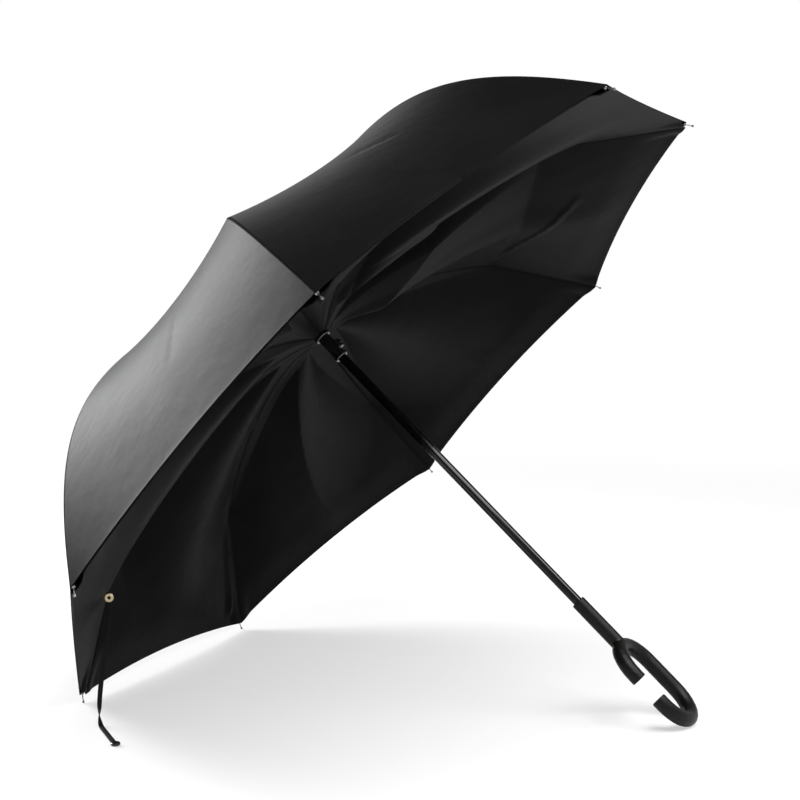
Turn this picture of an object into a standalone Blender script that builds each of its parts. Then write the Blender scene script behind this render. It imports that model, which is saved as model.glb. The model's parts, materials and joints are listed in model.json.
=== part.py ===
"""Inverted umbrella, open, resting on two rib tips and the bottom of its C handle. Metres, +Z up.

The umbrella is modelled upright, with its axis on Z and its hem corners at zero height. The empty
that carries every piece then lays it down on the floor.
"""

import math

import bmesh
import bpy
from mathutils import Matrix, Vector

# Fits shared by all pieces
CLEARANCE = 0.0003
OVERRUN = 0.002
MERGE_DISTANCE = 0.00001
ROUND_EDGE_SHARE = 0.5

# Canopy
RIB_COUNT = 8
FIRST_RIB_ANGLE = math.radians(-22.5)
SPAN_RADIUS = 0.525
CROWN_HEIGHT = 0.236
CROWN_SLOPE = math.radians(1.5)
CROWN_REACH = 0.300
TIP_SLOPE = math.radians(57)
TIP_REACH = 0.250
CLOTH_THICKNESS = 0.0006
HEM_SCALLOP = 0.005
HEM_LIFT = 0.010
PANEL_SAG = 0.013
SAG_LEAN_SHARE = 0.8
CORNER_FALL = math.radians(30)
OUTER_ROWS = 10
OUTER_COLUMNS = 4

# Inner canopy
TIE_INSET = 0.155
TIE_DROP = 0.0641
TIE_AIM_SHARE = 0.632
TIE_AIM_RISE = 0.0215
HUB_AIM_SHARE = 0.236
HUB_AIM_RISE = 0.0345
INNER_SLACK = 0.014
FOLD_DEPTH = 0.012
FOLD_WIDTH_SHARE = 0.22
FOLD_HEM_SHARE = 0.45
FOLD_HUB_SHARE = 0.70
HEM_ROWS = 3
HUB_ROWS = 8
INNER_COLUMNS = 6

# Shaft
SHAFT_RADIUS = 0.006
SHAFT_WALL = 0.0009
HUB_SIDES = 24

# Top notch, its wire and its cap
NOTCH_HINGE_RADIUS = 0.0125
NOTCH_HINGE_DROP = 0.012
NOTCH_RADIUS = 0.0155
NOTCH_CHAMFER = 0.0012
NOTCH_LIP = 0.0036
NOTCH_NECK_RADIUS = 0.0080
NOTCH_NECK_LENGTH = 0.0080
CAP_RADIUS = 0.0140
CAP_RIM = 0.0016
CAP_RISE = 0.0080
CAP_STEM_RADIUS = 0.0034
CAP_STEM_LENGTH = 0.0045

# Runner
RUNNER_HINGE_RADIUS = 0.0125
RUNNER_HINGE_HEIGHT = 0.1310
RUNNER_RADIUS = 0.0080
RUNNER_LENGTH = 0.0535
RUNNER_NECK_LENGTH = 0.0075
FLANGE_RADIUS = 0.0158
FLANGE_BELOW_HINGE = 0.0052
FLANGE_ABOVE_HINGE = 0.0038
COLLAR_RADIUS = 0.0112
COLLAR_HEIGHT = 0.0042
RING_RADIUS = 0.0096
RING_HEIGHT = 0.0045

# Lock button
BUTTON_ANGLE = 0.0
BUTTON_HEIGHT = 0.1010
BUTTON_RADIUS = 0.0026
BUTTON_PROUD = 0.0020
BOSS_REACH = 0.0128
BOSS_WIDTH = 0.0090
BOSS_LENGTH = 0.0125
BOSS_EDGE = 0.0013
POCKET_FLOOR = 0.0076
SPRING_RADIUS = 0.0018
SPRING_WIRE_RADIUS = 0.00025
SPRING_TURNS = 4
SPRING_HEIGHT = 0.0028

# Ribs
JOINT_RADIUS = 0.262
JOINT_DROP = 0.0070
CLOSED_JOINT_RADIUS = 0.030
WIRE_RADIUS = 0.0006
EYE_HOLE_RADIUS = 0.0011
STRUT_WIDTH = 0.0044
STRUT_HEIGHT = 0.0042
STRUT_WALL = 0.0007
STRUT_TONGUE = 0.0024
TOP_RIB_WIDTH = 0.0034
TOP_RIB_HEIGHT = 0.0040
TOP_RIB_WALL = 0.0006
TOP_RIB_TONGUE = 0.0012
TONGUE_LENGTH = 0.0056
SIDE_GAP = 0.0006
LUG_LENGTH = 0.0100
FORK_LENGTH = 0.0110
TRUNNION_RADIUS = 0.0009
END_STEPS = 4
SMALL_SIDES = 8

# Rib joints and rods
EYE_RADIUS = 0.0017
EYE_WIDTH = 0.0024
NECK_LENGTH = 0.0050
SLEEVE_RADIUS = 0.0024
SLEEVE_LENGTH = 0.0180
SLEEVE_FLOOR = 0.0035
ROD_RADIUS = 0.0015
ROD_POINTS = 11

# Rib tips
TIP_RADIUS = 0.0024
TIP_LENGTH = 0.0130
TIP_BORE_DEPTH = 0.0100
TIP_SHOULDER = 0.0013
NEEDLE_RADIUS = 0.0007
NEEDLE_LENGTH = 0.0070
BALL_RADIUS = 0.0017
BALL_RINGS = 3
TIP_SIDES = 10

# Handle
PARK_GAP = 0.0070
GRIP_RADIUS = 0.0095
SOCKET_RADIUS = 0.0090
SOCKET_LENGTH = 0.0735
SOCKET_DEPTH = 0.0570
LOOP_HALF_WIDTH = 0.0340
LOOP_LENGTH = 0.1130
SHORT_ARM = 0.0080
LOWER_ARM = 0.0070
REST_FLAT = 0.0006
ARC_STEPS = 14

# Strap, sewn inside the panel after this rib, its stud and its snap
STRAP_RIB = 6
STRAP_INSET = 0.0675
STRAP_BESIDE = 0.1360
STRAP_LENGTH = 0.2280
STRAP_WIDTH = 0.0062
STRAP_THICKNESS = 0.0010
STRAP_HEM = 0.0060
STRAP_BEND_RADIUS = 0.0140
STRAP_DRIFT = 0.0150
STRAP_DRIFT_HEADING = math.radians(190)
STRAP_HEADING = math.radians(-43)
STRAP_TOP_TURN = math.radians(13)
STRAP_HANG_TURN = math.radians(35)
STRAP_TURN_START = 0.0120
STRAP_STEPS = 48
STUD_RADIUS = 0.0054
STUD_HEIGHT = 0.0018
STUD_EYE_RADIUS = 0.0016
STUD_SEAT = 0.0005
STUD_CLOTH_GAP = 0.0008
SNAP_RADIUS = 0.0055
SNAP_HEIGHT = 0.0034


# Scene helpers

def clear_scene():
    for item in list(bpy.data.objects):
        bpy.data.objects.remove(item, do_unlink=True)


def make_collection(name):
    collection = bpy.data.collections.new(name)
    bpy.context.scene.collection.children.link(collection)
    return collection


def make_material(name, color, roughness, metallic=0.0):
    material = bpy.data.materials.new(name)
    material.use_nodes = True
    shader = material.node_tree.nodes["Principled BSDF"]
    shader.inputs["Base Color"].default_value = (*color, 1.0)
    shader.inputs["Roughness"].default_value = roughness
    shader.inputs["Metallic"].default_value = metallic
    return material


def add_object(name, mesh, collection, material, parent, place=None):
    item = bpy.data.objects.new(name, mesh)
    collection.objects.link(item)
    mesh.materials.clear()
    mesh.materials.append(material)
    item.parent = parent
    if place:
        item.matrix_basis = place
    return item


def evaluated_mesh(blank):
    """The mesh that a blank's modifiers or curve settings make. The blank is used up."""
    bpy.context.scene.collection.objects.link(blank)
    bpy.context.view_layer.update()
    graph = bpy.context.evaluated_depsgraph_get()
    mesh = bpy.data.meshes.new_from_object(blank.evaluated_get(graph))
    mesh.name = blank.name
    bpy.data.objects.remove(blank, do_unlink=True)
    return mesh


def cleaned(mesh):
    """The mesh with its caps welded on and its faces pointing out."""
    work = bmesh.new()
    work.from_mesh(mesh)
    bmesh.ops.remove_doubles(work, verts=work.verts, dist=MERGE_DISTANCE)
    bmesh.ops.recalc_face_normals(work, faces=work.faces)
    work.to_mesh(mesh)
    work.free()
    return mesh


def smooth(mesh, degrees=35):
    mesh.shade_smooth()
    mesh.set_sharp_from_angle(angle=math.radians(degrees))
    return mesh


# Basic solids

def box_mesh(name, low, high, edge=0.0):
    """A box between two corners, with its edges cut back where an edge is given."""
    size = [b - a for a, b in zip(low, high)]
    middle = [(a + b) / 2 for a, b in zip(low, high)]
    work = bmesh.new()
    bmesh.ops.create_cube(work, size=1, matrix=Matrix.Translation(middle) @ Matrix.Diagonal((*size, 1)))
    if edge:
        settings = {"segments": 2, "profile": ROUND_EDGE_SHARE, "affect": "EDGES"}
        bmesh.ops.bevel(work, geom=work.edges[:], offset=edge, **settings)
    mesh = bpy.data.meshes.new(name)
    work.to_mesh(mesh)
    work.free()
    return mesh


def cylinder_mesh(name, radius, low, high, sides, axis="Z", along=0.0):
    """A capped cylinder from low to high on an axis. A cross axis can pass through a place along X."""
    turns = {"X": Matrix.Rotation(math.pi / 2, 4, "Y"), "Y": Matrix.Rotation(-math.pi / 2, 4, "X")}
    place = turns.get(axis, Matrix.Identity(4)) @ Matrix.Translation((0, 0, (low + high) / 2))
    work = bmesh.new()
    bmesh.ops.create_cone(
        work, cap_ends=True, segments=sides, radius1=radius, radius2=radius, depth=high - low,
        matrix=Matrix.Translation((along, 0, 0)) @ place,
    )
    mesh = bpy.data.meshes.new(name)
    work.to_mesh(mesh)
    work.free()
    return mesh


def turned_mesh(name, profile, sides):
    """A profile of (radius, height) points spun about Z. It closes on itself unless it meets the axis."""
    outline = bpy.data.meshes.new(name)
    links = [(i, i + 1) for i in range(len(profile) - 1)]
    if profile[0][0] > 0:
        links.append((len(profile) - 1, 0))
    outline.from_pydata([(radius, 0, height) for radius, height in profile], links, [])
    blank = bpy.data.objects.new(name, outline)
    spin = blank.modifiers.new("spin", "SCREW")
    spin.steps = sides
    spin.render_steps = sides
    spin.use_merge_vertices = True
    spin.merge_threshold = MERGE_DISTANCE
    return smooth(cleaned(evaluated_mesh(blank)))


def curve_mesh(name, points, closed, settings):
    curve = bpy.data.curves.new(name, "CURVE")
    for key, value in settings.items():
        setattr(curve, key, value)
    spline = curve.splines.new("POLY")
    spline.points.add(len(points) - 1)
    for slot, point in zip(spline.points, points):
        slot.co = (*point, 1.0)
    spline.use_cyclic_u = closed
    return cleaned(evaluated_mesh(bpy.data.objects.new(name, curve)))


def tube_mesh(name, points, radius, resolution, closed=False):
    """A round tube along points, with flat ends."""
    settings = {"dimensions": "3D", "bevel_depth": radius, "bevel_resolution": resolution}
    settings["use_fill_caps"] = not closed
    return smooth(curve_mesh(name, points, closed, settings), 80)


def plate_mesh(name, outline, thickness):
    """A plate with this outline in X and Z, centred on the plane across Y."""
    settings = {"dimensions": "2D", "fill_mode": "BOTH", "extrude": thickness / 2}
    mesh = curve_mesh(name, [(x, z, 0) for x, z in outline], True, settings)
    mesh.transform(Matrix.Rotation(math.pi / 2, 4, "X"))
    return mesh


def combined(mesh, others, operation, cutters):
    """The mesh joined with or cut by the others. They stay in the cutters' collection."""
    blank = bpy.data.objects.new(mesh.name, mesh)
    for other in others:
        tool = bpy.data.objects.new(f"{mesh.name}_{other.name}", other)
        cutters.objects.link(tool)
        tool.hide_render = True
        tool.display_type = "WIRE"
        step = blank.modifiers.new(other.name, "BOOLEAN")
        step.solver = "EXACT"
        step.operation = operation
        step.object = tool
    return smooth(evaluated_mesh(blank))


# Places on the canopy, as (radius, height) in a rib's plane

def rib_angle(number):
    return FIRST_RIB_ANGLE + math.tau * (number - 1) / RIB_COUNT


def polar(radius, angle, height):
    return Vector((radius * math.cos(angle), radius * math.sin(angle), height))


def on_rib(number, place, pitch=0.0, side=0.0):
    """The matrix of a piece in a rib's plane: X outwards and up by the pitch, Y across the rib."""
    move = Matrix.Translation((place[0], side, place[1]))
    return Matrix.Rotation(rib_angle(number), 4, "Z") @ move @ Matrix.Rotation(-pitch, 4, "Y")


def bezier(points, share):
    rest = 1 - share
    weights = (rest**3, 3 * rest**2 * share, 3 * rest * share**2, share**3)
    return tuple(sum(w * p[axis] for w, p in zip(weights, points)) for axis in (0, 1))


def clamp_radius():
    return NOTCH_RADIUS + CLEARANCE


def outer_seam(share):
    """The outer cloth's top face along a rib, from the notch's edge at 0 to the hem corner at 1."""
    crown = (clamp_radius(), CROWN_HEIGHT)
    crown_aim = (CROWN_REACH, CROWN_HEIGHT - CROWN_REACH * math.sin(CROWN_SLOPE))
    tip_aim = (SPAN_RADIUS - TIP_REACH * math.cos(TIP_SLOPE), TIP_REACH * math.sin(TIP_SLOPE))
    return bezier((crown, crown_aim, tip_aim, (SPAN_RADIUS, 0.0)), share)


def outer_slope(share):
    """How steeply the outer seam falls there."""
    step = 0.001
    start = outer_seam(max(share - step, 0.0))
    end = outer_seam(min(share + step, 1.0))
    return math.atan2(start[1] - end[1], end[0] - start[0])


def below_outer(share, drop):
    """The place this far under the outer seam, square to it."""
    radius, height = outer_seam(share)
    slope = outer_slope(share)
    return radius - drop * math.sin(slope), height - drop * math.cos(slope)


def bisected(reached, low, high):
    """The value at which a test that turns from false to true does so."""
    for _ in range(40):
        middle = (low + high) / 2
        low, high = (low, middle) if reached(middle) else (middle, high)
    return high


def tip_drop():
    """From the outer cloth's top face to a rib tip's centre, clear of the panels beside it."""
    return CLOTH_THICKNESS + (TIP_RADIUS + CLEARANCE) / math.cos(CORNER_FALL)


def joint_share():
    return bisected(lambda share: below_outer(share, JOINT_DROP)[0] >= JOINT_RADIUS, 0.0, 1.0)


def joint_place():
    return below_outer(joint_share(), JOINT_DROP)


def notch_hinge():
    return NOTCH_HINGE_RADIUS, CROWN_HEIGHT - NOTCH_HINGE_DROP


def runner_hinge():
    return RUNNER_HINGE_RADIUS, RUNNER_HINGE_HEIGHT


def reach_and_pitch(start, end):
    run, rise = end[0] - start[0], end[1] - start[1]
    return math.hypot(run, rise), math.atan2(rise, run)


def inner_corner():
    return below_outer(1.0, tip_drop() + TIP_RADIUS + CLEARANCE)


def inner_clamp_height():
    return RUNNER_HINGE_HEIGHT - FLANGE_BELOW_HINGE - CLEARANCE


def tie_place():
    """Where the inner seam bends, this far in from the outer corner and under the outer seam."""
    radius = SPAN_RADIUS - TIE_INSET
    share = bisected(lambda share: outer_seam(share)[0] >= radius, 0.0, 1.0)
    return radius, outer_seam(share)[1] - TIE_DROP


def inner_seam(share):
    """The inner cloth's top face along a rib: hem corner at 0, tie at 1, the runner's flange at 2."""
    tie = tie_place()
    if share <= 1:
        return tuple(a + (b - a) * share for a, b in zip(inner_corner(), tie))
    hub = (FLANGE_RADIUS + 2 * CLEARANCE, inner_clamp_height())
    run = tie[0] - hub[0]
    tie_aim = (hub[0] + TIE_AIM_SHARE * run, hub[1] + TIE_AIM_RISE)
    hub_aim = (hub[0] + HUB_AIM_SHARE * run, hub[1] + HUB_AIM_RISE)
    return bezier((tie, tie_aim, hub_aim, hub), share - 1)


# Cloth

def between_ribs(panel, across, place, inward, lift):
    """A point between two ribs: on the straight line across, its middle drawn inward and lifted."""
    angles = rib_angle(panel + 1), rib_angle(panel + 2)
    start, end = [polar(place[0], angle, place[1]) for angle in angles]
    belly = 4 * across * (1 - across)
    return start.lerp(end, across) + belly * polar(-inward, sum(angles) / 2, lift)


def outer_point(row, panel, across):
    if row > OUTER_ROWS:
        return polar(CAP_STEM_RADIUS + CLEARANCE, rib_angle(panel + 1 + across), CROWN_HEIGHT)
    toward_crown = row / OUTER_ROWS
    place = outer_seam(1 - toward_crown)
    slope = outer_slope(1 - toward_crown)
    sag = PANEL_SAG * math.sin(math.pi * toward_crown**SAG_LEAN_SHARE)
    edge = (1 - toward_crown) ** 2
    inward = HEM_SCALLOP * edge + sag * math.sin(slope)
    lift = HEM_LIFT * edge - sag * math.cos(slope)
    return between_ribs(panel, across, place, inward, lift)


def fold_depth(share, across):
    """The loose fold from beside a strut at the hub to the middle of the hem, which fades at the ribs."""
    line = FOLD_HEM_SHARE + (FOLD_HUB_SHARE - FOLD_HEM_SHARE) * share / 2
    offset = min(abs(across - line) / FOLD_WIDTH_SHARE, 1.0)
    fade = min(across / line, (1 - across) / (1 - line))
    return FOLD_DEPTH * math.cos(offset * math.pi / 2) ** 2 * math.sin(math.pi * share / 2) * fade


def inner_point(row, panel, across):
    if row > HEM_ROWS + HUB_ROWS:
        return polar(RUNNER_RADIUS + CLEARANCE, rib_angle(panel + 1 + across), inner_clamp_height())
    share = row / HEM_ROWS if row <= HEM_ROWS else 1 + (row - HEM_ROWS) / HUB_ROWS
    edge = max(0.0, 1 - share) ** 2
    lift = HEM_LIFT * edge - INNER_SLACK * math.sin(math.pi * share / 2)
    point = between_ribs(panel, across, inner_seam(share), HEM_SCALLOP * edge, lift)
    point.z -= fold_depth(share, across if panel % 2 else 1 - across)
    return point


def sheet_mesh(name, rows, columns, point_at):
    """A ring-shaped sheet. Rows run from the hem to the hub, and columns run round the canopy."""
    around = RIB_COUNT * columns
    work = bmesh.new()
    grid = []
    for row in range(rows + 1):
        places = [point_at(row, i // columns, (i % columns) / columns) for i in range(around)]
        grid.append([work.verts.new(place) for place in places])
    for low, high in zip(grid, grid[1:]):
        for i in range(around):
            j = (i + 1) % around
            work.faces.new((low[i], low[j], high[j], high[i]))
    mesh = bpy.data.meshes.new(name)
    work.to_mesh(mesh)
    work.free()
    return smooth(mesh, 80)


def add_cloth(name, mesh, collection, material, parent):
    cloth = add_object(name, mesh, collection, material, parent)
    wall = cloth.modifiers.new("cloth", "SOLIDIFY")
    wall.thickness = CLOTH_THICKNESS
    wall.offset = -1


# Rib pieces

def bar_mesh(name, length, size, tongue, outer_hole, forked, cutters):
    """A pressed channel along X, open below, with round ends, a flattened root eye and an outer hole."""
    width, height, wall = size
    half = height / 2
    inside = width / 2 - wall
    turn = [math.pi * i / END_STEPS for i in range(END_STEPS + 1)]
    outline = [(-half * math.sin(a), half * math.cos(a)) for a in turn]
    outline += [(length + half * math.sin(a), -half * math.cos(a)) for a in turn]
    below, beside = -half - OVERRUN, width / 2 + OVERRUN
    behind, beyond = -half - OVERRUN, length + half + OVERRUN
    groove_end = length - FORK_LENGTH / 2 if forked else length - LUG_LENGTH
    tools = [
        box_mesh("groove", (LUG_LENGTH, -inside, below), (groove_end, inside, half - wall)),
        box_mesh("left", (behind, tongue / 2, below), (TONGUE_LENGTH, beside, -below)),
        box_mesh("right", (behind, -beside, below), (TONGUE_LENGTH, -tongue / 2, -below)),
        cylinder_mesh("root_hole", EYE_HOLE_RADIUS, -beside, beside, SMALL_SIDES, "Y"),
        cylinder_mesh("outer_hole", outer_hole, -beside, beside, SMALL_SIDES, "Y", length),
    ]
    if forked:
        tools.append(box_mesh("fork", (length - FORK_LENGTH, -inside, below), (beyond, inside, -below)))
    return combined(plate_mesh(name, outline, width), tools, "DIFFERENCE", cutters)


def top_rib_side():
    """How far a top rib's middle plane lies beside its strut's."""
    return STRUT_WIDTH / 2 + SIDE_GAP + TOP_RIB_WIDTH / 2


def rod_place(share):
    """The rod's centre line under the outer seam, closer to the cloth towards the tip."""
    part = (share - joint_share()) / (1 - joint_share())
    return below_outer(share, JOINT_DROP + (tip_drop() - JOINT_DROP) * part)


def sleeve_pitch():
    """The sleeve points from the joint to where the rod leaves it."""
    reach = NECK_LENGTH + SLEEVE_LENGTH
    joint = joint_place()
    share = bisected(lambda share: math.dist(rod_place(share), joint) >= reach, joint_share(), 1.0)
    return share, reach_and_pitch(joint, rod_place(share))[1]


def tip_place():
    """The middle of a rib tip's open end, and how steeply the tip points down."""
    radius, height = below_outer(1.0, tip_drop())
    slope = outer_slope(1.0)
    return (radius - TIP_LENGTH * math.cos(slope), height + TIP_LENGTH * math.sin(slope)), slope


def ball_place():
    place, slope = tip_place()
    out = TIP_LENGTH + NEEDLE_LENGTH + BALL_RADIUS
    return place[0] + out * math.cos(slope), place[1] - out * math.sin(slope)


def rod_route():
    """The rod's centre line from inside its sleeve to inside its tip, from the joint's place."""
    joint = joint_place()
    leave_share, pitch = sleeve_pitch()
    floor = NECK_LENGTH + SLEEVE_FLOOR + CLEARANCE
    route = [(joint[0] + floor * math.cos(pitch), joint[1] + floor * math.sin(pitch))]
    tip, slope = tip_place()
    last_share = bisected(lambda share: rod_place(share)[0] >= tip[0], leave_share, 1.0)
    for i in range(ROD_POINTS):
        route.append(rod_place(leave_share + (last_share - leave_share) * i / ROD_POINTS))
    depth = TIP_BORE_DEPTH - CLEARANCE
    route.append((tip[0] + depth * math.cos(slope), tip[1] - depth * math.sin(slope)))
    return [(radius - joint[0], 0, height - joint[1]) for radius, height in route]


def joint_mesh(cutters):
    """The fitting in a strut's fork along X: eye and trunnions, a waisted neck and the rod's sleeve."""
    end = NECK_LENGTH + SLEEVE_LENGTH
    inset = CLEARANCE
    low = (0, -EYE_WIDTH / 2 + inset, -EYE_RADIUS + inset)
    high = (NECK_LENGTH + SLEEVE_FLOOR / 2, EYE_WIDTH / 2 - inset, EYE_RADIUS - inset)
    eye = cylinder_mesh("rib_joint", EYE_RADIUS, -EYE_WIDTH / 2, EYE_WIDTH / 2, 10, "Y")
    joined = [
        box_mesh("neck", low, high),
        cylinder_mesh("sleeve", SLEEVE_RADIUS, NECK_LENGTH, end, 10, "X"),
        cylinder_mesh("trunnions", TRUNNION_RADIUS, -STRUT_WIDTH / 2, STRUT_WIDTH / 2, SMALL_SIDES, "Y"),
    ]
    floor = NECK_LENGTH + SLEEVE_FLOOR
    bore = cylinder_mesh("bore", ROD_RADIUS + CLEARANCE, floor, end + OVERRUN, SMALL_SIDES, "X")
    return combined(combined(eye, joined, "UNION", cutters), [bore], "DIFFERENCE", cutters)


def tip_mesh():
    """A rib's end cap along Z from its open end out, with its needle and ball."""
    bore = ROD_RADIUS + CLEARANCE
    profile = [(0, TIP_BORE_DEPTH), (bore, TIP_BORE_DEPTH), (bore, 0), (TIP_RADIUS, 0)]
    profile += [(TIP_RADIUS, TIP_LENGTH - TIP_SHOULDER), (NEEDLE_RADIUS, TIP_LENGTH)]
    ball = TIP_LENGTH + NEEDLE_LENGTH + BALL_RADIUS
    start = math.asin(NEEDLE_RADIUS / BALL_RADIUS)
    for i in range(BALL_RINGS):
        angle = start + (math.pi - start) * i / BALL_RINGS
        profile.append((BALL_RADIUS * math.sin(angle), ball - BALL_RADIUS * math.cos(angle)))
    profile.append((0, ball + BALL_RADIUS))
    return turned_mesh("rib_tip", profile, TIP_SIDES)


def add_ribs(parts, cutters, paint, root):
    joint = joint_place()
    strut_length, strut_pitch = reach_and_pitch(runner_hinge(), joint)
    top_length, top_pitch = reach_and_pitch(notch_hinge(), joint)
    trunnion_hole = TRUNNION_RADIUS + CLEARANCE
    strut_size = (STRUT_WIDTH, STRUT_HEIGHT, STRUT_WALL)
    strut = bar_mesh("strut", strut_length, strut_size, STRUT_TONGUE, trunnion_hole, True, cutters)
    top_size = (TOP_RIB_WIDTH, TOP_RIB_HEIGHT, TOP_RIB_WALL)
    top_rib = bar_mesh("top_rib", top_length, top_size, TOP_RIB_TONGUE, trunnion_hole, False, cutters)
    fitting = joint_mesh(cutters)
    rod = tube_mesh("outer_rib", rod_route(), ROD_RADIUS, 1)
    tip = tip_mesh()
    tip_start, tip_slope = tip_place()
    _, fitting_pitch = sleeve_pitch()
    tip_turn = Matrix.Rotation(math.pi / 2 + tip_slope, 4, "Y")
    for number in range(1, RIB_COUNT + 1):
        pieces = (
            ("top_rib", top_rib, "steel", on_rib(number, notch_hinge(), top_pitch, top_rib_side())),
            ("strut", strut, "steel", on_rib(number, runner_hinge(), strut_pitch)),
            ("rib_joint", fitting, "plastic", on_rib(number, joint, fitting_pitch)),
            ("outer_rib", rod, "rod", on_rib(number, joint)),
            ("rib_tip", tip, "nickel", on_rib(number, tip_start) @ tip_turn),
        )
        for name, mesh, finish, place in pieces:
            add_object(f"{name}_{number}", mesh.copy(), parts, paint[finish], root, place)


# Hub pieces

def groove_profile(hinge, outer, roof):
    """The corners of a wire groove, open outwards, going up the flange's edge."""
    floor = hinge[0] - WIRE_RADIUS - CLEARANCE
    half = WIRE_RADIUS + CLEARANCE
    low, high = hinge[1] - half, min(hinge[1] + half, roof)
    return [(outer, low), (floor, low), (floor, high), (outer, high)]


def rib_slots(hinge, width, radius, floor, ceiling, side=0.0):
    """One slot for each rib root, open outwards."""
    half = width / 2 + CLEARANCE
    low = (hinge[0] - STRUT_HEIGHT / 2 - CLEARANCE, side - half, floor)
    high = (radius + OVERRUN, side + half, ceiling)
    slots = []
    for number in range(1, RIB_COUNT + 1):
        slot = box_mesh(f"slot_{number}", low, high)
        slot.transform(Matrix.Rotation(rib_angle(number), 4, "Z"))
        slots.append(slot)
    return slots


def notch_top():
    return CROWN_HEIGHT - CLOTH_THICKNESS - CLEARANCE


def stem_shelf():
    """Where the cap's stem ends inside the notch."""
    return notch_top() - CAP_STEM_LENGTH - CLEARANCE


def notch_mesh(cutters):
    hinge = notch_hinge()
    top, shelf = notch_top(), stem_shelf()
    bottom = hinge[1] - NOTCH_LIP
    neck = bottom - NOTCH_NECK_LENGTH
    bore, stem = SHAFT_RADIUS + CLEARANCE, CAP_STEM_RADIUS + CLEARANCE
    profile = [(bore, shelf - CLEARANCE), (bore, neck)]
    profile += [(NOTCH_NECK_RADIUS, neck), (NOTCH_NECK_RADIUS, bottom)]
    profile += [(NOTCH_RADIUS, bottom), *groove_profile(hinge, NOTCH_RADIUS, top)]
    profile += [(NOTCH_RADIUS, top - NOTCH_CHAMFER), (NOTCH_RADIUS - NOTCH_CHAMFER, top)]
    profile += [(stem, top), (stem, shelf - CLEARANCE)]
    ceiling = hinge[1] + TOP_RIB_HEIGHT / 2 + 2 * CLEARANCE
    slots = rib_slots(hinge, TOP_RIB_TONGUE, NOTCH_RADIUS, bottom - OVERRUN, ceiling, top_rib_side())
    return combined(turned_mesh("top_notch", profile, HUB_SIDES), slots, "DIFFERENCE", cutters)


def wire_mesh(name, radius, height):
    """A closed ring of wire that runs through all the rib eyes in its groove."""
    steps = 4 * RIB_COUNT
    points = [polar(radius, math.tau * i / steps, height) for i in range(steps)]
    return tube_mesh(name, points, WIRE_RADIUS, 1, closed=True)


def notch_wire_radius():
    """The top ribs stand beside their hinge plane, so their wire ring is that much larger."""
    return math.hypot(NOTCH_HINGE_RADIUS, top_rib_side())


def cap_mesh():
    base, foot = CROWN_HEIGHT + CLEARANCE, stem_shelf()
    profile = [(0, foot), (CAP_STEM_RADIUS, foot), (CAP_STEM_RADIUS, base), (CAP_RADIUS, base)]
    for i in range(5):
        angle = math.pi / 2 * i / 5
        profile.append((CAP_RADIUS * math.cos(angle), base + CAP_RIM + CAP_RISE * math.sin(angle)))
    profile.append((0, base + CAP_RIM + CAP_RISE))
    return turned_mesh("top_cap", profile, HUB_SIDES)


def runner_top():
    return RUNNER_HINGE_HEIGHT + RUNNER_NECK_LENGTH


def runner_bottom():
    return runner_top() - RUNNER_LENGTH


def runner_mesh(cutters):
    hinge = runner_hinge()
    bore = SHAFT_RADIUS + CLEARANCE
    low, high = hinge[1] - FLANGE_BELOW_HINGE, hinge[1] + FLANGE_ABOVE_HINGE
    profile = [(bore, runner_bottom()), (RUNNER_RADIUS, runner_bottom()), (RUNNER_RADIUS, low)]
    profile += [(FLANGE_RADIUS, low), *groove_profile(hinge, FLANGE_RADIUS, high), (FLANGE_RADIUS, high)]
    profile += [(RUNNER_RADIUS, high), (RUNNER_RADIUS, runner_top()), (bore, runner_top())]
    boss_low = (bore + CLEARANCE, -BOSS_WIDTH / 2, BUTTON_HEIGHT - BOSS_LENGTH / 2)
    boss_high = (BOSS_REACH, BOSS_WIDTH / 2, BUTTON_HEIGHT + BOSS_LENGTH / 2)
    boss = box_mesh("boss", boss_low, boss_high, BOSS_EDGE)
    pocket = cylinder_mesh("pocket", BUTTON_RADIUS + CLEARANCE, POCKET_FLOOR, BOSS_REACH + OVERRUN, 16, "X")
    pocket.transform(Matrix.Translation((0, 0, BUTTON_HEIGHT)))
    bore_cut = cylinder_mesh("bore", bore, runner_bottom() - OVERRUN, runner_top() + OVERRUN, HUB_SIDES)
    for mesh in (boss, pocket):
        mesh.transform(Matrix.Rotation(BUTTON_ANGLE, 4, "Z"))
    floor = hinge[1] - STRUT_HEIGHT / 2 - CLEARANCE
    slots = rib_slots(hinge, STRUT_TONGUE, FLANGE_RADIUS, floor, runner_top())
    body = combined(turned_mesh("runner", profile, HUB_SIDES), [boss], "UNION", cutters)
    return combined(body, [bore_cut, pocket, *slots], "DIFFERENCE", cutters)


def band_mesh(name, outer, low, high):
    """A ring round the runner, with cut-back outer edges."""
    inner = RUNNER_RADIUS + CLEARANCE
    edge = (high - low) / 5
    profile = [(inner, low), (outer - edge, low), (outer, low + edge), (outer, high - edge)]
    profile += [(outer - edge, high), (inner, high)]
    return turned_mesh(name, profile, HUB_SIDES)


def button_foot():
    return POCKET_FLOOR + 2 * CLEARANCE + SPRING_HEIGHT


def button_mesh():
    """The button along Z, from its foot in the pocket to its face."""
    top = BOSS_REACH + BUTTON_PROUD
    edge = BUTTON_RADIUS / 3
    profile = [(0, button_foot()), (BUTTON_RADIUS, button_foot()), (BUTTON_RADIUS, top - edge)]
    profile += [(BUTTON_RADIUS - edge, top), (0, top)]
    return turned_mesh("lock_button", profile, 16)


def spring_mesh():
    """The coil spring along Z between the pocket's floor and the button's foot."""
    steps = 8 * SPRING_TURNS
    low = POCKET_FLOOR + CLEARANCE + SPRING_WIRE_RADIUS
    rise = SPRING_HEIGHT - 2 * SPRING_WIRE_RADIUS
    points = [polar(SPRING_RADIUS, math.tau * i / 8, low + rise * i / steps) for i in range(steps + 1)]
    return tube_mesh("button_spring", points, SPRING_WIRE_RADIUS, 1)


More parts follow.
